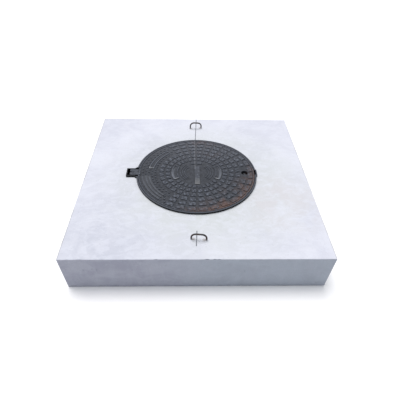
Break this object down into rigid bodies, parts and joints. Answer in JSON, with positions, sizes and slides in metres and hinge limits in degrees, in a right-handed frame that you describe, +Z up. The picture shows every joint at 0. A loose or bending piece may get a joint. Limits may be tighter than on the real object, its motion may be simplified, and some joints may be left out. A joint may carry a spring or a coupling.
{
  "type": "manhole cover",
  "caption": "Square precast concrete slab with a round hinged cast-iron manhole cover, its cast-in frame and lock, and lifting loops.",
  "frame": {"origin": "centre of the slab's underside", "axes": "+Z up through the slab; +X runs from the cover's hinge to its lock; the two lifting loops lie on the Y axis"},
  "size_m": [1.2, 1.2, 0.2417],
  "materials": {
    "concrete": "fair-faced light grey concrete",
    "reinforcing_steel": "mill scale with light rust",
    "loop_steel": "dark mill scale",
    "frame_iron": "black bituminous coating, worn",
    "cover_iron": "black bituminous coating, dusty, with light rust",
    "elastomer": "matt black",
    "plastic": "off-white nylon",
    "spacer_mortar": "grey fibre mortar",
    "lock_steel": "stainless steel",
    "lock_bronze": "dull bronze"
  },
  "bodies": {
    "slab": {"concrete_slab": "concrete", "lifting_loop_rear": "loop_steel", "lifting_loop_front": "loop_steel", "bottom_bars_x": "reinforcing_steel", "bottom_bars_y": "reinforcing_steel", "top_bars_x": "reinforcing_steel", "top_bars_y": "reinforcing_steel", "bottom_opening_hoop": "reinforcing_steel", "top_opening_hoop": "reinforcing_steel", "diagonal_trimmer_bars": "reinforcing_steel", "edge_u_bars": "reinforcing_steel", "mat_chairs": "reinforcing_steel", "frame_anchor_bars": "reinforcing_steel", "tie_wires": "reinforcing_steel", "bar_spacers": "spacer_mortar", "manhole_frame": "frame_iron", "seating_gasket": "elastomer", "hinge_pin": "lock_steel", "hinge_washers": "plastic"},
    "cover": {"cover_plate": "cover_iron", "lock_bush": "lock_bronze", "lock_seal_ring": "elastomer"},
    "lock": {"lock_spindle": "lock_steel", "lock_cam": "lock_steel", "lock_washer": "lock_steel", "lock_nut": "lock_steel", "lock_spring": "lock_steel"}
  },
  "joints": [
    {"name": "cover_hinge", "type": "hinge", "parent": "slab", "child": "cover", "pos_m": [-0.345, 0, 0.198], "axis": [0, -1, 0], "range_deg": [0, 130]},
    {"name": "lock_turn", "type": "hinge", "parent": "cover", "child": "lock", "pos_m": [0.262, 0, 0.175], "axis": [0, 0, -1], "range_deg": [0, 90]}
  ]
}
